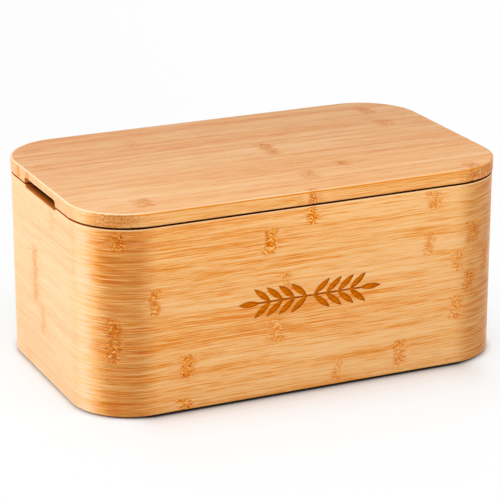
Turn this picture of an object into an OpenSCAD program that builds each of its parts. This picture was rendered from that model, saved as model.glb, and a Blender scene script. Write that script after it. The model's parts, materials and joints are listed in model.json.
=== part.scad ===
// Bread box: a bent bamboo wall with a floor let into it, and a lift-off lid
// that doubles as a cutting board. The front faces -Y and the box stands on
// z = 0, with the origin under its middle.

/* [Wall] */
// Length of the box along its front
box_w = 330; // [280:1:420]
// Depth of the box from front to back
box_d = 200; // [180:1:280]
// Height of the bent wall from its lower edge to its rim
wall_h = 137.5; // [110:0.5:180]
// Thickness of the bent wall
wall_t = 8; // [7:0.5:10]
// Outside radius of the four bent corners
corner_r = 45; // [35:1:60]
// Rounding of the rim and of the lower edge
wall_edge_r = 0.7; // [0.3:0.1:1.5]
// Width of the closing joint at the middle of the back
joint_gap = 0.3; // [0.1:0.1:0.6]

/* [Joint batten] */
// Width of the batten that backs the closing joint
joint_batten_w = 40; // [25:1:60]
// Thickness of that batten
joint_batten_t = 3; // [2:0.5:5]
// Distance of its top end below the rim
joint_batten_drop = 14; // [10:1:30]

/* [Floor] */
// Thickness of the floor panel
floor_t = 6; // [5:0.5:9]
// Height of the panel's underside above the wall's lower edge
floor_lift = 4; // [3:0.5:10]
// Depth of the groove that holds the panel
groove_depth = 3; // [2:0.5:4]
// Play of the panel in its groove, at the edge and above it
groove_play = 0.2; // [0.1:0.05:0.4]

/* [Feet] */
// Diameter of a rubber foot where it meets the floor panel
foot_d = 20; // [16:1:26]
// Height of the wall's lower edge above the worktop
foot_show = 1.5; // [1:0.25:4]
// How much smaller a foot's radius is at the worktop
foot_taper = 1.5; // [0.5:0.25:2.5]
// Distance of a foot's middle from the wall's outer face, at the front and the ends
foot_inset = 34; // [28:1:50]

/* [Lid] */
// Thickness of the lid board
lid_t = 10; // [9:0.5:16]
// Height of the shadow gap between the rim and the lid
seam_gap = 1; // [0.6:0.1:2]
// How far the lid stands out past the wall
lid_overhang = 0.4; // [0:0.1:1.5]
// Rounding of the lid's edges
lid_edge_r = 0.9; // [0.4:0.1:2]

/* [Finger slots] */
// Length of the finger slot at each end
slot_len = 64; // [50:1:80]
// Height of the slot above the lid's underside
slot_up = 4.5; // [3.5:0.25:6]
// Depth of the slot below the rim
slot_down = 2.25; // [1:0.25:4]
// Radius of the slot's corners
slot_r = 2.5; // [1:0.25:3]
// How far the slot runs in under the lid
slot_reach = 20; // [14:1:24]
// Chamfer round the mouth of the slot
slot_chamfer = 0.3; // [0.2:0.1:1]

/* [Lid battens] */
// Width of a batten across the lid's underside
batten_w = 20; // [16:1:26]
// Thickness of a batten
batten_t = 10; // [8:0.5:14]
// Play between a batten and the inside of the wall
batten_play = 1.5; // [1:0.25:3]
// Distance from the wall's outer face to a batten's outer side
batten_inset = 23; // [21:1:40]
// Rounding of a batten's long lower edges
batten_edge_r = 2; // [1:0.25:3]

/* [Rim bumpers] */
// Diameter of a silicone bumper
bumper_d = 5; // [4:0.25:6]
// Depth of the bumper's seat in the rim
bumper_seat = 0.8; // [0.5:0.1:2]
// Distance of a bumper from the middle of the box, along the front and the back
bumper_x = 95; // [60:1:110]

/* [Screws] */
// Shank diameter of every screw
screw_d = 3; // [2.5:0.1:3.5]
// Head diameter of every screw
head_d = 6; // [5:0.1:7]
// How far a batten screw runs into the lid
batten_screw_bite = 6.5; // [5:0.5:8]
// How far a foot screw runs into the floor panel
foot_screw_bite = 4.5; // [3:0.5:5]
// Distance between the screws of a batten
batten_screw_pitch = 55; // [40:1:65]
// Clearance round a screw or a bumper in its hole
hole_play = 0.1; // [0.05:0.05:0.2]

/* [Carving] */
// Overall length of the carved pair of wheat ears
carving_w = 112; // [100:1:130]
// Height of the carving's middle above the wall's lower edge
carving_z = 71; // [60:1:90]
// Depth of the carving
carving_depth = 0.8; // [0.4:0.1:1.5]
// Length of one kernel
kernel_len = 17; // [12:0.5:18]
// Width of one kernel
kernel_w = 4.6; // [3:0.1:5]
// Slant of a kernel from the stem, in degrees
kernel_slant = 40; // [36:1:48]
// Width of the stem
stem_w = 1.5; // [0.8:0.1:2.5]

/* [Hidden] */
bamboo = [0.93, 0.69, 0.40];
pale_bamboo = [0.94, 0.75, 0.52];
rubber = [0.13, 0.13, 0.14];
silicone = [0.30, 0.28, 0.26];
steel = [0.72, 0.72, 0.70];

over = 1;                                      // how far a cutter runs past what it cuts
wall_z = foot_show;                            // lower edge of the wall
rim_z = wall_z + wall_h;                       // rim of the wall
lid_z = rim_z + seam_gap;                      // underside of the lid board
floor_z = wall_z + floor_lift;                 // underside of the floor panel
floor_top = floor_z + floor_t;
inner_w = box_w - 2 * wall_t;                  // plan of the space inside the wall
inner_d = box_d - 2 * wall_t;
inner_r = corner_r - wall_t;
lid_w = box_w + 2 * lid_overhang;              // plan of the lid
lid_d = box_d + 2 * lid_overhang;
lid_r = corner_r + lid_overhang;
slot_h = slot_down + seam_gap + slot_up;       // full height of a finger slot
hole_d = screw_d + 2 * hole_play;
head_h = head_d / 3;                           // height of a countersunk head
foot_sink = 1;                                 // depth of a foot screw's head in the foot
foot_chamfer = 0.6;                            // chamfer of a foot's lower edge
foot_screw_len = floor_z - foot_sink + foot_screw_bite;
bumper_chamfer = 0.3;                          // chamfer of a bumper's upper edge
bumper_y = (box_d - wall_t) / 2;               // middle of the rim, front and back
batten_x = box_w / 2 - batten_inset - batten_w / 2;
batten_screw_len = batten_t + batten_screw_bite;
kernel_rows = 4;                               // pairs of kernels on one ear
kernel_step = kernel_len * 0.56;               // from one pair of kernels to the next
kernel_arc_r = (kernel_len ^ 2 + kernel_w ^ 2) / (4 * kernel_w);

// A rectangle with round corners, about the origin.
module plan(w, d, r) {
    square([w - 2 * r, d], center = true);
    square([w, d - 2 * r], center = true);
    for (sx = [-1, 1], sy = [-1, 1])
        translate([sx * (w / 2 - r), sy * (d / 2 - r)])
            circle(r = r, $fn = 96);
}

// Sweeps a section round a plan(w, d, r). In the section, x is the distance
// outwards from the centres of the plan's corners, and y is the height.
module sweep(w, d, r) {
    for (side = [0:3]) {
        out = (side % 2 == 0 ? w : d) / 2 - r;
        run = (side % 2 == 0 ? d : w) - 2 * r;
        rotate([0, 0, 90 * side])
            translate([out, run / 2, 0]) {
                rotate([90, 0, 0])
                    linear_extrude(run)
                        children();
                rotate_extrude(angle = 90, $fn = 128)
                    children();
            }
    }
}

// A slab on a plan(w, d, r). The section is that of its edge, and reaches
// inwards to the centres of the plan's corners.
module slab(w, d, r, h) {
    sweep(w, d, r)
        children();
    translate([r - w / 2, r - d / 2, 0])
        cube([w - 2 * r, d - 2 * r, h]);
}

// A countersunk screw that runs upwards from its head's face at z = 0.
module screw(length) {
    color(steel)
        difference() {
            union() {
                cylinder(d1 = head_d, d2 = screw_d, h = head_h, $fn = 48);
                cylinder(d = screw_d, h = length - screw_d, $fn = 48);
                translate([0, 0, length - screw_d])
                    cylinder(d1 = screw_d, d2 = screw_d / 4, h = screw_d, $fn = 48);
            }
            for (turn = [0, 90])
                rotate([0, 0, turn])
                    translate([-head_d / 4, -head_d / 16, -over])
                        cube([head_d / 2, head_d / 8, over + head_h / 2]);
        }
}

// What is cut away for a screw whose head's face is at z = 0, with a well
// below the head. The head seats on the countersink.
module screw_hole(length, well) {
    seat_h = head_h * (head_d - hole_d) / (head_d - screw_d);
    translate([0, 0, -well])
        cylinder(d = head_d + 2 * hole_play, h = well, $fn = 48);
    cylinder(d1 = head_d, d2 = hole_d, h = seat_h, $fn = 48);
    cylinder(d = hole_d, h = length + hole_play, $fn = 48);
}

// What is cut away for the finger slot at one end, side -1 at the left and 1 at
// the right. One cut shapes the rim and the lid's lower edge. Its mouth is
// chamfered on the face that lies mouth_x from the middle of the box.
module finger_slot(side, mouth_x) {
    flare = slot_chamfer + over;
    translate([0, 0, rim_z - slot_down + slot_h / 2])
        rotate([90, 0, 90 * side]) {
            translate([0, 0, box_w / 2 - slot_reach])
                linear_extrude(slot_reach + lid_overhang + over)
                    plan(slot_len, slot_h, slot_r);
            translate([0, 0, mouth_x - slot_chamfer])
                slab(slot_len, slot_h, slot_r, flare)
                    polygon([[0, 0], [slot_r, 0], [slot_r + flare, flare], [0, flare]]);
        }
}

// A kernel of wheat: two arcs that meet in points at x = 0 and x = kernel_len.
module kernel() {
    translate([kernel_len / 2, 0])
        intersection_for(side = [-1, 1])
            translate([0, side * (kernel_arc_r - kernel_w / 2)])
                circle(r = kernel_arc_r, $fn = 180);
}

// An ear of wheat that lies along x, from its stem's foot at x = 0 to its tip.
module wheat_ear() {
    tip_x = carving_w / 2 - kernel_len;
    translate([0, -stem_w / 2])
        square([tip_x + 2 * stem_w, stem_w]);
    translate([tip_x, 0])
        kernel();
    for (row = [1:kernel_rows], side = [-1, 1])
        translate([tip_x - row * kernel_step + stem_w, 0])
            rotate(side * kernel_slant)
                kernel();
}

// What is cut away from the front for the carving: two ears, stem to stem.
module carving() {
    translate([0, carving_depth - box_d / 2, wall_z + carving_z])
        rotate([90, 0, 0])
            linear_extrude(carving_depth + over) {
                wheat_ear();
                mirror([1, 0])
                    wheat_ear();
            }
}

// The wall: one bamboo laminate bent round four corners, with its ends meeting
// at the middle of the back.
module wall_band() {
    color(bamboo)
        difference() {
            sweep(box_w, box_d, corner_r)
                difference() {
                    translate([corner_r - wall_t / 2, wall_z + wall_h / 2])
                        plan(wall_t, wall_h, wall_edge_r);
                    translate([inner_r - over, floor_z])
                        square([groove_depth + over, floor_t + groove_play]);
                }
            translate([-joint_gap / 2, box_d / 2 - wall_t - over, wall_z - over])
                cube([joint_gap, wall_t + 2 * over, wall_h + 2 * over]);
            for (side = [-1, 1])
                finger_slot(side, box_w / 2);
            for (sx = [-1, 1], sy = [-1, 1])
                translate([sx * bumper_x, sy * bumper_y, rim_z - bumper_seat])
                    cylinder(d = bumper_d + 2 * hole_play, h = bumper_seat + over, $fn = 48);
            carving();
        }
}

// The batten glued over the closing joint, inside the back.
module joint_batten() {
    half_w = joint_batten_w / 2;
    color(bamboo)
        translate([0, inner_d / 2, floor_top])
            linear_extrude(rim_z - joint_batten_drop - floor_top)
                polygon([
                    [-half_w, 0],
                    [-half_w + joint_batten_t, -joint_batten_t],
                    [half_w - joint_batten_t, -joint_batten_t],
                    [half_w, 0]
                ]);
}

// Places its children at one foot: sx is -1 at the left, sy is -1 at the front.
module at_foot(sx, sy) {
    translate([sx * (box_w / 2 - foot_inset), sy * (box_d / 2 - foot_inset), 0])
        children();
}

// What is cut away from a foot and from the floor panel for the foot's screw.
module foot_screw_hole() {
    translate([0, 0, foot_sink])
        screw_hole(foot_screw_len, foot_sink + over);
}

// The floor panel, held by its edge in the wall's groove.
module floor_panel() {
    tongue = groove_depth - groove_play;
    color(pale_bamboo)
        difference() {
            translate([0, 0, floor_z])
                linear_extrude(floor_t)
                    plan(inner_w + 2 * tongue, inner_d + 2 * tongue, inner_r + tongue);
            for (sx = [-1, 1], sy = [-1, 1])
                at_foot(sx, sy)
                    foot_screw_hole();
        }
}

// A rubber foot, with its screw's head sunk into it.
module foot(sx, sy) {
    toe_r = foot_d / 2 - foot_taper;
    color(rubber)
        at_foot(sx, sy)
            difference() {
                rotate_extrude($fn = 96)
                    polygon([
                        [0, 0],
                        [toe_r - foot_chamfer, 0],
                        [toe_r, foot_chamfer],
                        [foot_d / 2, floor_z],
                        [0, floor_z]
                    ]);
                foot_screw_hole();
            }
}

module foot_screws() {
    for (sx = [-1, 1], sy = [-1, 1])
        at_foot(sx, sy)
            translate([0, 0, foot_sink])
                screw(foot_screw_len);
}

// A silicone bumper, seated in the rim. The lid rests on four of them.
module bumper(sx, sy) {
    top = bumper_seat + seam_gap;
    color(silicone)
        translate([sx * bumper_x, sy * bumper_y, rim_z - bumper_seat])
            rotate_extrude($fn = 48)
                polygon([
                    [0, 0],
                    [bumper_d / 2, 0],
                    [bumper_d / 2, top - bumper_chamfer],
                    [bumper_d / 2 - bumper_chamfer, top],
                    [0, top]
                ]);
}

// The lid board, with the upper part of both finger slots in its lower edge.
module lid_board() {
    color(pale_bamboo)
        difference() {
            translate([0, 0, lid_z])
                slab(lid_w, lid_d, lid_r, lid_t)
                    intersection() {
                        translate([0, lid_t / 2])
                            plan(2 * lid_r, lid_t, lid_edge_r);
                        square([lid_r, lid_t]);
                    }
            for (side = [-1, 1]) {
                finger_slot(side, lid_w / 2);
                at_batten_screws(side)
                    screw_hole(batten_screw_len, over);
            }
        }
}

// Places its children on the face of each screw's head in one batten.
module at_batten_screws(side) {
    for (row = [-1:1])
        translate([side * batten_x, row * batten_screw_pitch, lid_z - batten_t])
            children();
}

// A batten across the lid's underside. Its ends follow the wall's corners, so
// that it keeps the lid in place on the box, and the board flat.
module lid_batten(side) {
    color(bamboo)
        difference() {
            intersection() {
                translate([0, 0, lid_z - batten_t])
                    linear_extrude(batten_t)
                        plan(
                            inner_w - 2 * batten_play,
                            inner_d - 2 * batten_play,
                            inner_r - batten_play
                        );
                translate([side * batten_x, box_d / 2, lid_z - batten_t])
                    rotate([90, 0, 0])
                        linear_extrude(box_d)
                            batten_section();
            }
            at_batten_screws(side)
                screw_hole(batten_screw_len, over);
        }
}

// A batten's section, with its lower edges rounded.
module batten_section() {
    translate([-batten_w / 2, batten_edge_r])
        square([batten_w, batten_t - batten_edge_r]);
    translate([0, batten_t / 2])
        plan(batten_w, batten_t, batten_edge_r);
}

module batten_screws(side) {
    at_batten_screws(side)
        screw(batten_screw_len);
}

wall_band();
joint_batten();
floor_panel();
foot(-1, -1);  // foot_front_left
foot(1, -1);  // foot_front_right
foot(-1, 1);  // foot_rear_left
foot(1, 1);  // foot_rear_right
foot_screws();
bumper(-1, -1);  // bumper_front_left
bumper(1, -1);  // bumper_front_right
bumper(-1, 1);  // bumper_rear_left
bumper(1, 1);  // bumper_rear_right
lid_board();
lid_batten(-1);  // lid_batten_left
lid_batten(1);  // lid_batten_right
batten_screws(-1);  // batten_screws_left
batten_screws(1);  // batten_screws_right
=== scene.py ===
"""Bread box of bent bamboo with a lift-off lid: looks, light and camera.

Lengths in the materials are millimetres, all others metres.
"""

import json
import math

import bpy
from mathutils import Matrix, Vector


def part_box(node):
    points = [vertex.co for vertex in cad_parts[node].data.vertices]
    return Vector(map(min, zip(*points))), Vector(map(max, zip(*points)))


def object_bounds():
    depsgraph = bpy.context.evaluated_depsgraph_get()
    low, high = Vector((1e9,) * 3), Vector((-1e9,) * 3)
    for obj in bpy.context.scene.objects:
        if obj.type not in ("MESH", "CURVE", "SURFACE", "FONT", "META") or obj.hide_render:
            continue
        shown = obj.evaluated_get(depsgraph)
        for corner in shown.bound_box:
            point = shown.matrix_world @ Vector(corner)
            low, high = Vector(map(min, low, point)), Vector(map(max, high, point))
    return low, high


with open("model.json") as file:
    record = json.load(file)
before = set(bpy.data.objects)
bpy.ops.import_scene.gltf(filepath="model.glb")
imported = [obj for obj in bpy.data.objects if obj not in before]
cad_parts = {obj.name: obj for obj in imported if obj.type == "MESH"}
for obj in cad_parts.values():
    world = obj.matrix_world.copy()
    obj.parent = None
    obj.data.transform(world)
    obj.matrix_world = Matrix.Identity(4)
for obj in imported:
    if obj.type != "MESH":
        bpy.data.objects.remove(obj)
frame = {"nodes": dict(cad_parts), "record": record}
cad_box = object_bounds()

NODES = frame["nodes"]
LOW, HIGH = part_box("wall_band")
WALL_W = (HIGH.x - LOW.x) * 1000
WALL_D = (HIGH.y - LOW.y) * 1000
WALL = 8.0  # thickness of the wall
CORNER_R = 45.0  # outer radius of its corners
STRAIGHT_X = WALL_W / 2 - CORNER_R  # from the middle to where the corners begin
STRAIGHT_Y = WALL_D / 2 - CORNER_R
DEGREES_PER_MM = 180 / math.pi / CORNER_R
RIM_Z = HIGH.z * 1000
SLOT_Z = RIM_Z - 2.25  # floor of the finger slots
SLOT_END = 33.8  # just past the slots, from the middle of the box
LID_TOP = cad_box[1][2] * 1000
LID_UNDER = LID_TOP - 10.0
CARVING_Z = 72.5
CARVING_HALF_W = 61.0  # of the area that the carving lies in
CARVING_HALF_H = 19.0
CARVING_DEPTH = 0.8


# ---------------------------------------------------------------- node graphs


def is_socket(value):
    return isinstance(value, bpy.types.NodeSocket)


class Graph:
    """Adds nodes to a node tree. An argument is a socket, or a constant."""

    def __init__(self, tree):
        self.tree = tree

    def plug(self, socket, value):
        if is_socket(value):
            self.tree.links.new(value, socket)
        else:
            socket.default_value = value

    def node(self, kind, settings=None, inputs=None):
        made = self.tree.nodes.new(kind)
        for name, value in (settings or {}).items():
            setattr(made, name, value)
        for name, value in (inputs or {}).items():
            self.plug(made.inputs[name], value)
        return made

    def math(self, operation, *values):
        made = self.node("ShaderNodeMath", {"operation": operation})
        for socket, value in zip(made.inputs, values):
            self.plug(socket, value)
        return made.outputs[0]

    def chain(self, operation, values):
        """Takes the values together, two at a time."""
        total = values[0]
        for value in values[1:]:
            total = self.math(operation, total, value)
        return total

    def add(self, *values):
        return self.chain("ADD", values)

    def sub(self, a, b):
        return self.math("SUBTRACT", a, b)

    def mul(self, *values):
        return self.chain("MULTIPLY", values)

    def div(self, a, b):
        return self.math("DIVIDE", a, b)

    def least(self, a, b):
        return self.math("MINIMUM", a, b)

    def most(self, *values):
        return self.chain("MAXIMUM", values)

    def abs(self, a):
        return self.math("ABSOLUTE", a)

    def clamp(self, value, limit):
        return self.most(self.least(value, limit), -limit)

    def step(self, value, low, high, out_low=0.0, out_high=1.0):
        """Eases from out_low to out_high as value goes from low to high."""
        made = self.node(
            "ShaderNodeMapRange",
            {"interpolation_type": "SMOOTHSTEP"},
            {"Value": value, "From Min": low, "From Max": high, "To Min": out_low, "To Max": out_high},
        )
        return made.outputs[0]

    def vector(self, x, y, z):
        return self.node("ShaderNodeCombineXYZ", inputs={"X": x, "Y": y, "Z": z}).outputs[0]

    def split(self, vector):
        return self.node("ShaderNodeSeparateXYZ", inputs={"Vector": vector}).outputs[:]

    def noise(self, x, y, z, detail=1.0, roughness=0.5, distortion=0.0):
        """Noise whose features are about one unit wide along each axis."""
        made = self.node(
            "ShaderNodeTexNoise",
            inputs={
                "Vector": self.vector(x, y, z),
                "Scale": 1.0,
                "Detail": detail,
                "Roughness": roughness,
                "Distortion": distortion,
            },
        )
        return made.outputs["Fac"]

    def white(self, x, y):
        """A number from 0 to 1 that differs wherever x or y does."""
        place = self.vector(x, y, 0.0)
        made = self.node("ShaderNodeTexWhiteNoise", {"noise_dimensions": "2D"}, {"Vector": place})
        return made.outputs["Value"]

    def mix(self, factor, a, b, blend="MIX"):
        made = self.node("ShaderNodeMix", {"data_type": "RGBA", "blend_type": blend, "clamp_factor": True})
        self.plug(made.inputs["Factor"], factor)
        self.plug(made.inputs[6], rgba(a))  # 6 and 7 are the colour sockets, of several called A and B
        self.plug(made.inputs[7], rgba(b))
        return made.outputs[2]

    def ramp(self, factor, stops):
        made = self.node("ShaderNodeValToRGB", inputs={"Fac": factor})
        elements = made.color_ramp.elements
        while len(elements) > 1:
            elements.remove(elements[-1])
        elements[0].position, elements[0].color = stops[0][0], rgba(stops[0][1])
        for place, colour in stops[1:]:
            elements.new(place).color = rgba(colour)
        return made.outputs["Color"]

    def bump(self, height, strength, distance):
        made = self.node(
            "ShaderNodeBump",
            inputs={"Height": height, "Strength": strength, "Distance": distance},
        )
        return made.outputs["Normal"]


def srgb(red, green, blue):
    """A colour given as 0 to 255 on screen, as the linear one that shaders take."""
    linear = []
    for value in (red, green, blue):
        value /= 255
        linear.append(value / 12.92 if value <= 0.04045 else ((value + 0.055) / 1.055) ** 2.4)
    return tuple(linear)


def rgba(value):
    if is_socket(value):
        return value
    return (*value, 1.0) if len(value) == 3 else value


def greys(stops):
    """The stops of a ramp whose colours are given as one number each."""
    return [(place, (value,) * 3) for place, value in stops]


class Group:
    """A node group with float inputs and outputs, which its maker wires up."""

    def __init__(self, name, inputs, outputs):
        self.tree = bpy.data.node_groups.new(name, "ShaderNodeTree")
        for each in inputs:
            self.tree.interface.new_socket(each, in_out="INPUT", socket_type="NodeSocketFloat")
        for each in outputs:
            self.tree.interface.new_socket(each, in_out="OUTPUT", socket_type="NodeSocketFloat")
        self.graph = Graph(self.tree)
        self.inputs = self.graph.node("NodeGroupInput").outputs[: len(inputs)]
        self.outputs = self.graph.node("NodeGroupOutput").inputs[: len(outputs)]

    def give(self, *values):
        for socket, value in zip(self.outputs, values):
            self.graph.plug(socket, value)

    def use(self, graph, **values):
        made = graph.node("ShaderNodeGroup", {"node_tree": self.tree}, values)
        return made.outputs[: len(self.outputs)]


def object_mm(g):
    """The surface point in the piece's own frame, in millimetres."""
    place = g.node("ShaderNodeTexCoord").outputs["Object"]
    made = g.node("ShaderNodeVectorMath", {"operation": "SCALE"}, {0: place, "Scale": 1000.0})
    return g.split(made.outputs[0])


# ---------------------------------------------------------------- bamboo

STRIP = 20.0  # width of one bamboo strip

# Each part of the box is cut from other strips.
WALL_SEED = 1.0
LID_SEED = 4.0
INNER_SEED = 8.0


def make_grain():
    """Bamboo fibres, as their tone, dark streaks, pale streaks and height.

    along runs with the fibres, across over a strip's width, and through into the board.
    """
    names = ["along", "across", "through", "seed", "width"]
    group = Group("bamboo_grain", names, ["tone", "streak", "pale", "fibre"])
    g = group.graph
    along, across, through, seed, width = group.inputs
    # The fibres wave a little, and each strip has its own.
    wave = g.noise(g.div(along, 120.0), g.div(across, 40.0), seed)
    ripple = g.noise(g.div(along, 22.0), g.div(across, 6.0), g.add(seed, 3.7))
    bent = g.add(across, g.mul(g.sub(wave, 0.5), 3.0), g.mul(g.sub(ripple, 0.5), 0.5))
    strip = g.math("FLOOR", g.div(g.add(across, g.mul(g.sub(wave, 0.5), 0.6)), STRIP))
    chance = g.white(strip, seed)
    shift = g.add(along, g.mul(chance, 900.0))
    layer = g.add(g.mul(strip, 2.3), seed)
    thin = g.div(bent, width)
    deep = g.div(through, width)

    def fibres(length, wide, offset):
        """Fibres of one length and width. The offset keeps them apart from the others."""
        inwards = g.add(g.div(deep, wide), layer, offset)
        return g.noise(g.div(shift, length), g.div(thin, wide), inwards)

    fine = fibres(22.0, 0.42, 0.0)
    parts = [
        (fine, 1.3),
        (fibres(9.0, 0.9, 11.1), 0.4),
        (fibres(110.0, 0.8, 7.3), 0.95),
        (fibres(140.0, 2.2, 17.9), 0.2),
        (fibres(220.0, 9.0, 13.1), 0.8),
        (chance, 0.10),
    ]
    tone = g.add(0.5, *[g.mul(g.sub(part, 0.5), share) for part, share in parts])
    streak = g.step(fibres(60.0, 0.6, 21.7), 0.58, 0.72)
    pale = g.step(fibres(60.0, 0.6, 31.9), 0.58, 0.72)
    group.give(tone, streak, pale, fine)
    return group


def make_knuckle():
    """One bamboo knuckle: a ragged patch, the fan of fibres beside it, and its lean.

    The lean is the distance from its middle line, in millimetres, and bends the pattern into chevrons.
    """
    names = [
        "along",
        "across",
        "ragged",
        "place_along",
        "place_across",
        "half_along",
        "half_across",
        "weight",
    ]
    group = Group("bamboo_knuckle", names, ["mask", "fan", "lean"])
    g = group.graph
    along, across, ragged, at_l, at_a, half_l, half_a, weight = group.inputs
    off_l = g.div(g.abs(g.add(g.sub(along, at_l), ragged)), half_l)
    off_a = g.div(g.abs(g.add(g.sub(across, at_a), g.mul(ragged, 0.35))), half_a)
    inside = g.mul(g.step(off_l, 1.2, 0.4), g.step(off_a, 1.08, 0.8))
    beside = g.mul(g.step(off_l, 3.4, 0.9), g.step(off_a, 1.1, 0.7))
    near = g.mul(g.math("LESS_THAN", off_l, 3.0), g.math("LESS_THAN", off_a, 1.5))
    lean = g.mul(g.abs(g.sub(along, at_l)), near)
    group.give(g.mul(inside, weight), g.mul(beside, weight), lean)
    return group


GRAIN = make_grain()
KNUCKLE = make_knuckle()


def knuckles(g, along, across, seed, places):
    """All knuckles' masks, fans and leans, with ends that are ragged fibre by fibre."""
    rag = g.noise(g.div(along, 30.0), g.div(across, 0.9), seed, detail=2.0)
    drift = g.noise(g.div(along, 60.0), g.div(across, 7.0), 5.0)
    ragged = g.add(g.mul(g.sub(rag, 0.5), 9.0), g.mul(g.sub(drift, 0.5), 8.0))
    found = None
    for at_l, at_a, width, height, weight in places:
        one = KNUCKLE.use(
            g,
            along=along,
            across=across,
            ragged=ragged,
            place_along=at_l,
            place_across=at_a,
            half_along=width / 2,
            half_across=height / 2,
            weight=weight,
        )
        found = [g.most(a, b) for a, b in zip(found, one)] if found else one
    return found


TONE_STOPS = (0.18, 0.34, 0.5, 0.66, 0.84)


def bamboo(g, along, across, through, seed, places, palette, add_bend_light, painted_light=0.0):
    """Lacquered bamboo's colour, roughness, height and mask of knuckles.

    The function given after the palette paints light and shade into a colour by an amount: painted shade at
    the corners, and a painted sheen and highlights at the ends.
    """
    tone, streak, pale, fibre = GRAIN.use(
        g, along=along, across=across, through=through, seed=seed, width=palette["width"]
    )
    # The last argument shifts the tone by painted light and shade.
    tone = g.add(g.mul(g.sub(tone, 0.5), palette["contrast"]), 0.5, painted_light)
    body = g.ramp(tone, list(zip(TONE_STOPS, palette["body"])))
    body = g.mix(g.mul(streak, palette["streaks"]), body, palette["streak"])
    body = add_bend_light(g.mix(g.mul(pale, palette["pales"]), body, palette["pale"]), 1.0)
    height = g.mul(g.sub(fibre, 0.5), 0.5)
    rough = g.add(0.40, g.mul(g.sub(tone, 0.5), -0.10))
    if not places:
        return body, rough, height, 0.0
    mask, fan, lean = knuckles(g, along, across, seed, places)
    # A knuckle's core is mottled with dark and pale worms, and its fan has streaks as fine as hair.
    chevron = g.add(across, g.mul(lean, 0.22))
    inwards = g.add(g.div(through, 2.0), seed)
    worm = g.noise(g.div(along, 2.5), g.div(chevron, 1.2), inwards, distortion=1.5)
    spark = g.step(worm, 0.54, 0.61)
    dusk = g.step(worm, 0.48, 0.43)
    hair = g.noise(g.div(along, 14.0), g.div(across, 0.7), seed)
    core = g.mix(dusk, palette["knuckle"], palette["knuckle_dark"])
    core = add_bend_light(g.mix(g.mul(spark, 0.75), core, palette["knuckle_pale"]), 0.8)
    body = g.mix(g.mul(fan, g.step(hair, 0.50, 0.62), 0.55), body, palette["streak"])
    body = g.mix(g.mul(fan, g.step(hair, 0.48, 0.38), 0.45), body, palette["pale"])
    body = g.mix(mask, body, core)
    height = g.add(height, g.mul(mask, g.add(g.mul(spark, 0.9), g.mul(dusk, -0.9))))
    rough = g.add(rough, g.mul(mask, 0.08))
    return body, rough, height, mask


# Tones of bamboo. width is that of a fibre, body goes from dark to pale, and
# streaks and pales are the shares of the two colours named before them.
WARM = {
    "width": 1.0,
    "contrast": 1.0,
    "body": [
        srgb(214, 118, 10),
        srgb(223, 145, 56),
        srgb(230, 167, 94),
        srgb(232, 177, 112),
        srgb(235, 187, 129),
    ],
    "streak": srgb(218, 126, 20),
    "streaks": 0.5,
    "pale": srgb(240, 198, 142),
    "pales": 0.4,
    "knuckle": srgb(232, 144, 14),
    "knuckle_dark": srgb(200, 85, 0),
    "knuckle_pale": srgb(250, 211, 142),
}
LID_TONES = {
    "width": 0.8,
    "contrast": 1.2,
    "body": [
        srgb(214, 124, 24),
        srgb(221, 147, 62),
        srgb(225, 162, 90),
        srgb(228, 170, 102),
        srgb(232, 179, 117),
    ],
    "streak": srgb(216, 128, 36),
    "streaks": 0.4,
    "pale": srgb(239, 189, 133),
    "pales": 0.3,
    "knuckle": srgb(222, 146, 60),
    "knuckle_dark": srgb(194, 88, 0),
    "knuckle_pale": srgb(242, 194, 128),
}


# ---------------------------------------------------------------- materials


def empty_material(name):
    material = bpy.data.materials.new(name)
    material.use_nodes = True
    material.node_tree.nodes.clear()
    return material, Graph(material.node_tree)


def show(g, shader):
    g.plug(g.node("ShaderNodeOutputMaterial").inputs["Surface"], shader.outputs[0])


def new_material(name):
    material, g = empty_material(name)
    shader = g.node("ShaderNodeBsdfPrincipled")
    show(g, shader)
    return material, g, shader


def finish_surface(g, shader, colour, rough, height, relief):
    """Gives the shader its colour, roughness and bump, whose relief is in metres."""
    g.plug(shader.inputs["Base Color"], colour)
    g.plug(shader.inputs["Roughness"], rough)
    g.plug(shader.inputs["Normal"], g.bump(height, 1.0, relief))


def corner(g, x, y):
    """A point's place about the centre of its round corner: how far out, its bend and its turn.

    Both are in degrees, 0 on the front and the back and 90 on the ends. The bend stays at these along the
    straight sides. The turn goes on past them, at as many degrees to the millimetre as in the corner.
    """
    off_x = g.most(g.sub(g.abs(x), STRAIGHT_X), 0.0)
    off_y = g.most(g.sub(g.abs(y), STRAIGHT_Y), 0.0)
    out = g.math("SQRT", g.add(g.mul(off_x, off_x), g.mul(off_y, off_y)))
    bend = g.math("DEGREES", g.math("ARCTAN2", off_x, off_y))
    before = g.least(g.sub(g.abs(x), STRAIGHT_X), 0.0)
    after = g.most(g.sub(STRAIGHT_Y, g.abs(y)), 0.0)
    past = g.add(before, g.mul(after, g.math("GREATER_THAN", off_x, 0.0)))
    return out, bend, g.add(bend, g.mul(past, DEGREES_PER_MM))


def band_coordinates(g):
    """The wall unrolled: length along it from the middle of the front, height, depth into it, and turn."""
    x, y, z = object_mm(g)
    out, bend, turn = corner(g, x, y)
    behind = g.math("GREATER_THAN", y, 0.0)
    flat = g.mul(g.least(g.abs(x), STRAIGHT_X), g.sub(1.0, g.mul(behind, 2.0)))
    flat = g.add(flat, g.mul(behind, 2 * STRAIGHT_X))
    bent = g.mul(g.math("RADIANS", g.abs(g.sub(g.mul(behind, 180.0), bend))), CORNER_R)
    length = g.add(flat, bent, g.clamp(y, STRAIGHT_Y), STRAIGHT_Y)
    return g.mul(length, g.math("SIGN", x)), z, g.sub(CORNER_R, out), turn


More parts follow.
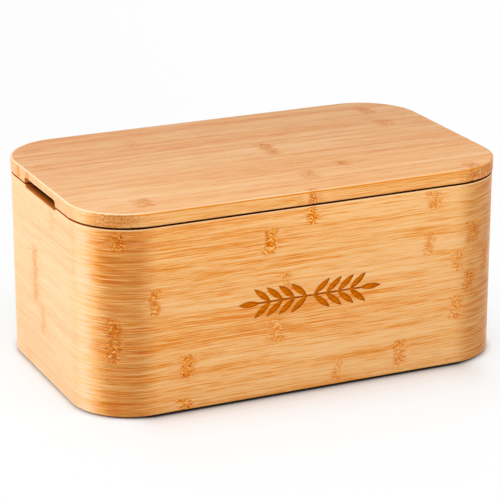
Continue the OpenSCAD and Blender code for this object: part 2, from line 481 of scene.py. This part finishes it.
# Painted light and shade at the bends: shade over the corners, then a sheen, a highlight and a golden
# highlight towards the ends.
PAINTED_CORNER_SHADE = (0.69, 0.54, 0.31)
PAINTED_END_SHEEN = (0.80, 0.56, 0.34)
PAINTED_END_HIGHLIGHT = (0.80, 0.62, 0.40)
PAINTED_GOLDEN_HIGHLIGHT = (0.80, 0.44, 0.12)
FRAY = 26.0  # how raggedly, in degrees of turn, the fibres change colour


def paint_bend_light(g, colour, turn, amount, z, side):
    """Painted shade over the bamboo's corners, and a painted sheen and highlight at its ends.

    side is negative at the left end and positive at the right one, which gets less of the painted sheen and
    highlight.
    """
    streaks = g.noise(g.div(turn, 45.0), g.div(z, 1.5), 9.0, roughness=0.6)
    frayed = g.add(turn, g.mul(g.sub(streaks, 0.5), -FRAY))
    # Painted shade over the corner.
    corner_shade = g.mul(g.step(turn, -8.0, 20.0), g.step(frayed, 56.0, 34.0), amount)
    corner_shade = g.mul(corner_shade, g.step(streaks, 0.36, 0.62, 0.6, 1.3))
    colour = g.mix(corner_shade, colour, PAINTED_CORNER_SHADE, "MULTIPLY")
    # A painted sheen over the ends, stronger at the left one, and a painted highlight where each corner
    # meets its end.
    end_light = g.mul(amount, g.step(side, -60.0, 60.0, 1.0, 0.2))
    painted_light = g.mul(g.step(frayed, 49.0, 65.0), end_light)
    colour = g.mix(g.mul(painted_light, 0.58), colour, PAINTED_END_SHEEN)
    end_highlight = g.mul(g.step(frayed, 56.0, 66.0), g.step(turn, 80.0, 70.0), end_light)
    colour = g.mix(g.mul(end_highlight, 0.4), colour, PAINTED_END_HIGHLIGHT)
    # Between the corner's painted shade and the end's painted sheen, some fibres carry a golden painted
    # highlight.
    golden_highlight = g.mul(g.step(turn, 46.0, 56.0), g.step(turn, 92.0, 70.0), g.step(streaks, 0.50, 0.60))
    return g.mix(g.mul(golden_highlight, amount, 0.5), colour, PAINTED_GOLDEN_HIGHLIGHT)


# ---------------------------------------------------------------- wall

PLY = 1.6  # thickness of one ply of the wall
CUT_PLY = (0.62, 0.48, 0.36)
GLUE_LINE = (0.28, 0.18, 0.1)
# Painted shade on the rim's top, which darkens the seam below the lid, lighter and redder at the ends, and a
# painted highlight on the rim's arris.
PAINTED_SEAM_SHADE = (0.2, 0.095, 0.04)
PAINTED_SEAM_SHADE_END = (0.95, 0.42, 0.14)
PAINTED_RIM_HIGHLIGHT = (0.88, 0.62, 0.34)
SLOT_SHADE = [(0.05, (0.95, 0.55, 0.22)), (0.45, (0.55, 0.26, 0.07)), (0.9, (0.05, 0.02, 0.01))]
BURNT_WALL = srgb(148, 62, 0)
BURNT_DARK = srgb(184, 86, 0)
BURNT_PALE = srgb(208, 114, 8)
WALL_GLOSS = 0.22

# Knuckles of the wall: length along it from the middle of the front, height,
# width, height, strength.
WALL_KNUCKLES = [
    (-145, 130, 12, 15, 0.9),
    (-119, 84, 9, 19, 0.85),
    (-149, 58, 14, 36, 0.8),
    (-95, 34, 13, 18, 0.9),
    (-98, 6, 12, 10, 0.9),
    (-31, 117, 12, 19, 1.0),
    (1, 132, 10, 15, 1.0),
    (-18, 82, 10, 24, 0.6),
    (-27, 50, 17, 18, 0.5),
    (22, 11, 8, 20, 0.55),
    (98, 130, 14, 15, 0.7),
    (95, 97, 9, 17, 0.65),
    (119, 82, 12, 18, 0.6),
    (132, 102, 14, 18, 0.6),
    (130, 64, 12, 17, 0.8),
    (148, 78, 14, 22, 0.45),
    (119, 46, 13, 20, 0.65),
    (72, 17, 12, 21, 0.7),
    (-261, 76, 12, 44, 1.0),
    (-247, 45, 10, 24, 0.75),
    (-222, 128, 10, 16, 0.5),
    (-281, 7, 9, 12, 0.5),
    (205, 118, 11, 18, 0.8),
    (252, 66, 12, 20, 0.8),
    (228, 26, 12, 20, 0.6),
    (292, 100, 12, 18, 0.7),
    (330, 44, 13, 20, 0.8),
    (372, 121, 12, 18, 0.9),
    (418, 76, 12, 20, 0.8),
    (455, 18, 11, 20, 0.7),
    (-338, 112, 12, 19, 0.8),
    (-365, 52, 13, 20, 0.7),
    (-411, 92, 12, 20, 0.9),
    (-452, 34, 12, 20, 0.8),
    (-470, 127, 11, 17, 0.7),
]


def rim(g, colour, z, depth, turn):
    """The rim has a painted highlight on its arris, and a top that shows its plies and has painted shade
    along its outer part, to darken the seam below the lid.
    """
    # A painted highlight along the rim's arris.
    arris = g.mul(g.step(z, RIM_Z - 1.3, RIM_Z - 0.9), g.step(depth, 1.0, 0.7))
    colour = g.mix(g.mul(arris, 0.6), colour, PAINTED_RIM_HIGHLIGHT)
    trimmed = g.mul(g.step(z, RIM_Z - 0.45, RIM_Z - 0.25), g.step(depth, 0.05, 0.2))
    glue = g.step(g.math("PINGPONG", depth, PLY), 0.35, 0.1)
    colour = g.mix(trimmed, colour, g.mix(g.mul(glue, 0.6), CUT_PLY, GLUE_LINE), "MULTIPLY")
    # Painted shade on the outer part of the rim's top.
    seam_shade = g.mul(trimmed, g.step(depth, 4.5, 2.4))
    seam_shade_colour = g.mix(g.step(turn, 35.0, 75.0), PAINTED_SEAM_SHADE, PAINTED_SEAM_SHADE_END)
    return g.mix(seam_shade, colour, seam_shade_colour, "MULTIPLY"), seam_shade


def slot_floor(g, colour, z, depth, turn):
    """The floor of the finger slots has painted shade, darker inwards."""
    slot_turn = 90.0 + (STRAIGHT_Y - SLOT_END) * DEGREES_PER_MM
    beside = g.mul(g.step(z, SLOT_Z - 0.25, SLOT_Z - 0.1), g.step(turn, slot_turn - 1.0, slot_turn + 1.0))
    slot = g.mul(beside, g.step(depth, 0.2, 0.5))
    return g.mix(slot, colour, g.ramp(g.div(depth, WALL), SLOT_SHADE), "MULTIPLY"), slot


def carving(g, colour, length, z, depth):
    """Inside the carved pockets the wood is burnt, most of all at their walls."""
    wide = g.step(g.abs(length), CARVING_HALF_W + 1.0, CARVING_HALF_W)
    high = g.step(g.abs(g.sub(z, CARVING_Z)), CARVING_HALF_H + 1.0, CARVING_HALF_H)
    deep = g.step(depth, 2 * CARVING_DEPTH, 2 * CARVING_DEPTH - 0.1)
    burnt = g.mul(wide, high, g.step(depth, 0.05, 0.12), deep)
    bottom = g.mul(burnt, g.step(depth, CARVING_DEPTH - 0.08, CARVING_DEPTH - 0.02))
    grain = g.noise(g.div(length, 6.0), g.div(z, 0.9), 3.0)
    char = g.mix(g.step(grain, 0.35, 0.65), BURNT_DARK, BURNT_PALE)
    colour = g.mix(burnt, colour, BURNT_WALL)
    return g.mix(bottom, colour, char), burnt


def wall_material():
    material, g, shader = new_material("wall_bamboo")
    length, z, depth, turn = band_coordinates(g)
    even = g.step(length, 0.0, 100.0, 1.0, 0.95)

    # Painted light and shade at the wall's bends and ends.
    def add_bend_light(tint, amount):
        return paint_bend_light(g, tint, turn, g.mul(even, amount), z, length)

    # Painted light and shade: the front is lighter towards the right, and the right end is darker.
    painted_light = g.sub(g.step(length, -70.0, 110.0, -0.02, 0.13), g.step(length, 128.0, 185.0, 0.0, 0.22))
    colour, rough, height, knuckle = bamboo(
        g, length, z, depth, WALL_SEED, WALL_KNUCKLES, WARM, add_bend_light, painted_light
    )
    colour, seam_shade = rim(g, colour, z, depth, turn)
    colour, slot = slot_floor(g, colour, z, depth, turn)
    colour, burnt = carving(g, colour, length, z, depth)
    finish_surface(g, shader, colour, g.add(rough, g.mul(burnt, 0.25)), height, relief=0.00010)
    dull = g.most(burnt, seam_shade, slot, g.mul(knuckle, 0.85))
    g.plug(shader.inputs["Specular IOR Level"], g.mul(g.sub(1.0, dull), WALL_GLOSS))
    return material


# ---------------------------------------------------------------- lid

# Painted shade on the lid's side of the seam.
PAINTED_LID_SEAM_SHADE = (0.12, 0.045, 0.015)
ARRIS_ORANGE = srgb(212, 128, 24)
PAINTED_ARRIS_HIGHLIGHT = srgb(252, 228, 190)
END_DOTS = (0.70, 0.48, 0.30)
END_MARKS = (25.0, 45.0)  # where two knuckles cross the edge of the lid's left end
LID_GLOSS = 0.42

# Knuckles of the lid's upper side: place along and across it, then as above.
LID_KNUCKLES = [
    (-117, -77, 16, 20, 0.72),
    (17, 7, 13, 34, 0.8),
    (15, -64, 14, 20, 0.6),
    (51, -49, 11, 12, 0.9),
    (131, 73, 14, 18, 0.8),
    (129, 37, 16, 18, 0.7),
    (1, -100, 10, 10, 0.9),
    (132, -95, 12, 20, 0.8),
    (-150, 30, 12, 18, 0.4),
    (-70, 62, 12, 20, 0.4),
]


def end_grain(g, colour, x, y, z, bend, edge):
    """The lid's edge shows dots of end grain in its corners, and two knuckles at its left end."""
    dots = g.noise(g.div(x, 1.1), g.div(y, 1.1), g.div(z, 0.9))
    cut = g.mul(edge, g.step(bend, 8.0, 22.0), g.step(bend, 62.0, 48.0), g.step(dots, 0.46, 0.60))
    colour = g.mix(g.mul(cut, g.step(x, 0.0, 100.0, 0.75, 0.1)), colour, END_DOTS, "MULTIPLY")
    left_end = g.mul(edge, g.step(x, -150.0, -160.0), g.step(dots, 0.30, 0.50))
    for place in END_MARKS:
        mark = g.step(g.abs(g.sub(y, place)), 3.6, 1.8)
        colour = g.mix(g.mul(left_end, mark), colour, ARRIS_ORANGE)
    return colour


def top_arris(g, colour, x, y, z, out, bend):
    """The arris of the lid's top has a painted highlight at the left, and is orange elsewhere."""
    left = g.step(x, 150.0, -20.0)
    far = g.step(g.add(x, g.mul(y, 1.5)), 0.0, 70.0)
    upper_arris = g.mul(g.step(z, LID_TOP - 0.45, LID_TOP - 0.3), g.step(out, CORNER_R - 1.3, CORNER_R - 0.9))
    # A painted highlight on the arris at the left.
    pale = g.mul(upper_arris, left, g.sub(1.0, far), g.step(bend, 0.0, 20.0, 0.4, 0.75))
    colour = g.mix(pale, colour, PAINTED_ARRIS_HIGHLIGHT)
    colour = g.mix(g.mul(upper_arris, far, 0.6), colour, ARRIS_ORANGE)
    below = g.mul(g.step(z, LID_TOP - 1.7, LID_TOP - 1.3), g.step(z, LID_TOP - 0.3, LID_TOP - 0.5))
    orange = g.mul(below, g.most(g.step(bend, 26.0, 6.0), g.sub(1.0, left)))
    return g.mix(orange, colour, ARRIS_ORANGE)


def lower_arris(g, colour, z, out, turn):
    """The lid's lower arris and the outer part of its underside, over the seam, have painted shade, less of
    it at the ends.
    """
    low = g.step(z, LID_UNDER + 0.4, LID_UNDER + 0.2)
    lid_seam_shade = g.mul(low, g.step(out, CORNER_R - 7.0, CORNER_R - 2.5), g.step(turn, 60.0, 85.0, 1.0, 0.35))
    return g.mix(lid_seam_shade, colour, PAINTED_LID_SEAM_SHADE, "MULTIPLY"), lid_seam_shade


def lid_material():
    material, g, shader = new_material("lid_bamboo")
    x, y, z = object_mm(g)
    out, bend, turn = corner(g, x, y)
    edge = g.mul(g.step(z, LID_TOP - 0.3, LID_TOP - 0.7), g.step(out, CORNER_R - 0.6, CORNER_R - 0.1))

    # Painted light and shade at the lid edge's bends and ends.
    def add_bend_light(tint, amount):
        return paint_bend_light(g, tint, turn, g.mul(edge, 0.7 * amount), z, x)

    # Painted light and shade: the edge is darker to the right and at the ends, and the top towards the back.
    front = g.step(x, -60.0, 130.0, 0.10, -0.21)
    painted_light = g.mul(edge, g.sub(front, g.step(bend, 45.0, 70.0, 0.0, 0.25)))
    painted_light = g.add(painted_light, g.step(y, -70.0, 90.0, 0.05, -0.07))
    colour, rough, height, knuckle = bamboo(
        g, x, y, z, LID_SEED, LID_KNUCKLES, LID_TONES, add_bend_light, painted_light
    )
    colour = end_grain(g, colour, x, y, z, bend, edge)
    colour = top_arris(g, colour, x, y, z, out, bend)
    colour, lid_seam_shade = lower_arris(g, colour, z, out, turn)
    finish_surface(g, shader, colour, rough, height, relief=0.00009)
    dull = g.most(g.mul(edge, 0.2), g.mul(lid_seam_shade, 0.38), g.mul(knuckle, 0.24))
    g.plug(shader.inputs["Specular IOR Level"], g.sub(LID_GLOSS, dull))
    return material


# ---------------------------------------------------------------- other pieces


def inner_material():
    material, g, shader = new_material("inner_bamboo")
    x, y, z = object_mm(g)
    grain = bamboo(g, x, y, z, INNER_SEED, [], LID_TONES, lambda tint, amount: tint)
    colour, rough, height = grain[:3]
    finish_surface(g, shader, colour, g.add(rough, 0.12), height, relief=0.00012)
    return material


# How much the roughness and the colour of the plain materials vary.
UNEVEN_ROUGH = 0.05
UNEVEN_COLOUR = 0.15


def plain_material(name, colour, rough, size, metal=0.0):
    """Rubber, silicone or steel, with a fine unevenness of the given size."""
    material, g, shader = new_material(name)
    x, y, z = object_mm(g)
    cloud = g.noise(g.div(x, size), g.div(y, size), g.div(z, size), detail=3.0)
    dark = tuple(value * (1 - UNEVEN_COLOUR) for value in colour)
    light = tuple(value * (1 + UNEVEN_COLOUR) for value in colour)
    g.plug(shader.inputs["Base Color"], g.ramp(cloud, [(0.3, dark), (0.7, light)]))
    uneven = g.step(cloud, 0.3, 0.7, rough - UNEVEN_ROUGH, rough + UNEVEN_ROUGH)
    g.plug(shader.inputs["Roughness"], uneven)
    g.plug(shader.inputs["Normal"], g.bump(cloud, 0.4, 0.00003))
    shader.inputs["Metallic"].default_value = metal
    return material


MATERIALS = {
    "wall_bamboo": wall_material(),
    "lid_bamboo": lid_material(),
    "inner_bamboo": inner_material(),
    "foot_rubber": plain_material("foot_rubber", (0.022, 0.022, 0.024), 0.62, 0.5),
    "bumper_silicone": plain_material("bumper_silicone", (0.09, 0.075, 0.06), 0.4, 0.7),
    "screw_steel": plain_material("screw_steel", (0.62, 0.61, 0.58), 0.34, 0.4, metal=1.0),
}

for subpart in frame["record"]["subparts"]:
    piece = NODES[subpart["node"]]
    for slot in piece.material_slots:
        slot.material = MATERIALS[subpart["material_slot"]]


# ---------------------------------------------------------------- floor

FLOOR_SIZE = 14.0
WHITE = (1.0, 1.0, 1.0)

# What the camera sees of the floor away from the box, as a share of
# FADE_REACH: 0 is the lit paper, 1 plain white.
FADE_REACH = 110.0
FADE = [(0.02, 0.0), (0.07, 0.14), (0.14, 0.32), (0.23, 0.48), (0.45, 0.74), (1.0, 0.95)]

# The paper's colour, with a painted shadow that is dark close beneath the box: share of GREY_REACH
# from GREY_START inside its outline, value.
GREY_START = 2.0
GREY_REACH = 40.0
PAINTED_SHADOW_GREYS = [(0.04, 0.03), (0.065, 0.3), (0.12, 0.53), (0.25, 0.7), (0.45, 0.78), (0.8, 0.82)]
PAINTED_SHADOW_AT_ENDS = (0.86, 0.86, 0.86)


def seen_directly(g):
    """1 for rays from the camera, also by way of gloss or glass, and 0 for those that light the box."""
    rays = g.node("ShaderNodeLightPath").outputs
    return g.most(rays["Is Camera Ray"], rays["Is Glossy Ray"], rays["Is Transmission Ray"])


def floor_material():
    """White paper, with a painted shadow close round the box. What the camera sees of it is plain white,
    save round the box, where its shadow shows.
    """
    material, g = empty_material("floor_white")
    x, y = object_mm(g)[:2]
    out, bend = corner(g, x, y)[:2]
    away = g.sub(out, CORNER_R)
    ends = g.step(bend, -5.0, 30.0)
    white = g.ramp(g.div(away, FADE_REACH), greys(FADE))
    white = g.mix(g.mul(ends, 0.65, g.step(away, -1.0, 6.0)), white, WHITE)
    # A painted shadow darkens the paper close to the box, less at its ends.
    shadowed_paper = g.ramp(g.div(g.add(away, GREY_START), GREY_REACH), greys(PAINTED_SHADOW_GREYS))
    shadowed_paper = g.mix(g.mul(ends, 0.85), shadowed_paper, PAINTED_SHADOW_AT_ENDS)
    paper = g.node("ShaderNodeBsdfPrincipled", inputs={"Base Color": shadowed_paper, "Roughness": 0.35})
    glow = g.node("ShaderNodeEmission", inputs={"Color": rgba(WHITE), "Strength": 1.0})
    blend = g.node(
        "ShaderNodeMixShader",
        inputs={"Fac": g.mul(seen_directly(g), white), 1: paper.outputs[0], 2: glow.outputs[0]},
    )
    show(g, blend)
    return material


def make_floor():
    half = FLOOR_SIZE / 2
    corners = [(-half, -half, 0.0), (half, -half, 0.0), (half, half, 0.0), (-half, half, 0.0)]
    mesh = bpy.data.meshes.new("floor")
    mesh.from_pydata(corners, [], [(0, 1, 2, 3)])
    mesh.materials.append(floor_material())
    made = bpy.data.objects.new("floor", mesh)
    bpy.context.scene.collection.objects.link(made)
    return made


floor = make_floor()


# ---------------------------------------------------------------- light and camera


def direction(bearing, height):
    """The direction from the box at a bearing and a height in degrees.

    The bearing is 0 in front of the box and positive to the left.
    """
    turn, rise = math.radians(bearing), math.radians(height)
    return Vector((-math.sin(turn) * math.cos(rise), -math.cos(turn) * math.cos(rise), math.sin(rise)))


# Lamps: name, bearing and height of their direction, distance, size, power.
LAMPS = [
    ("left_rear", 115.0, 15.0, 1.4, 0.7, 7.2),
    ("left", 90.0, 25.0, 1.4, 0.7, 7.4),
    ("rear", 180.0, 40.0, 2.0, 1.4, 3.0),
    ("front_left", 30.0, 40.0, 0.75, 0.4, 1.8),
    ("front_right", -30.0, 40.0, 0.75, 0.4, 2.45),
]
AIM = Vector((0.0, 0.0, 0.08))
GLARE_HEIGHT = 30.0  # lower lamps would glare on the lid when it is seen along its length


def add_lamp(name, bearing, height, distance, size, power):
    data = bpy.data.lights.new(name, "AREA")
    data.shape = "SQUARE"
    data.size = size
    data.energy = power
    lamp = bpy.data.objects.new(name, data)
    lamp.visible_glossy = height > GLARE_HEIGHT
    away = direction(bearing, height)
    facing = away.to_track_quat("Z", "Y").to_matrix().to_4x4()
    lamp.matrix_world = Matrix.Translation(AIM + away * distance) @ facing
    bpy.context.scene.collection.objects.link(lamp)


for lamp in LAMPS:
    add_lamp(*lamp)

WORLD_LIGHT = 0.3  # what lights the box, beside the white of 1 that the camera sees


def make_world():
    world = bpy.data.worlds.new("white_room")
    world.use_nodes = True
    g = Graph(world.node_tree)
    background = world.node_tree.nodes["Background"]
    background.inputs["Color"].default_value = rgba(WHITE)
    strength = g.add(WORLD_LIGHT, g.mul(seen_directly(g), 1.0 - WORLD_LIGHT))
    g.plug(background.inputs["Strength"], strength)
    bpy.context.scene.world = world


make_world()

CAMERA_BEARING = 24.567
CAMERA_HEIGHT = 18.764
CAMERA_DISTANCE = 1.7154
CAMERA_TARGET = Vector((-0.00133, 0.0, 0.07562))
CAMERA_LENS = 165.7


def add_camera():
    data = bpy.data.cameras.new("camera")
    data.lens = CAMERA_LENS
    data.sensor_width = 36.0
    data.clip_end = 50.0
    camera = bpy.data.objects.new("camera", data)
    camera.location = CAMERA_TARGET + direction(CAMERA_BEARING, CAMERA_HEIGHT) * CAMERA_DISTANCE
    camera.rotation_euler = (math.radians(90.0 - CAMERA_HEIGHT), 0.0, -math.radians(CAMERA_BEARING))
    bpy.context.scene.collection.objects.link(camera)
    bpy.context.scene.camera = camera


add_camera()
bpy.context.scene.view_settings.view_transform = "Standard"
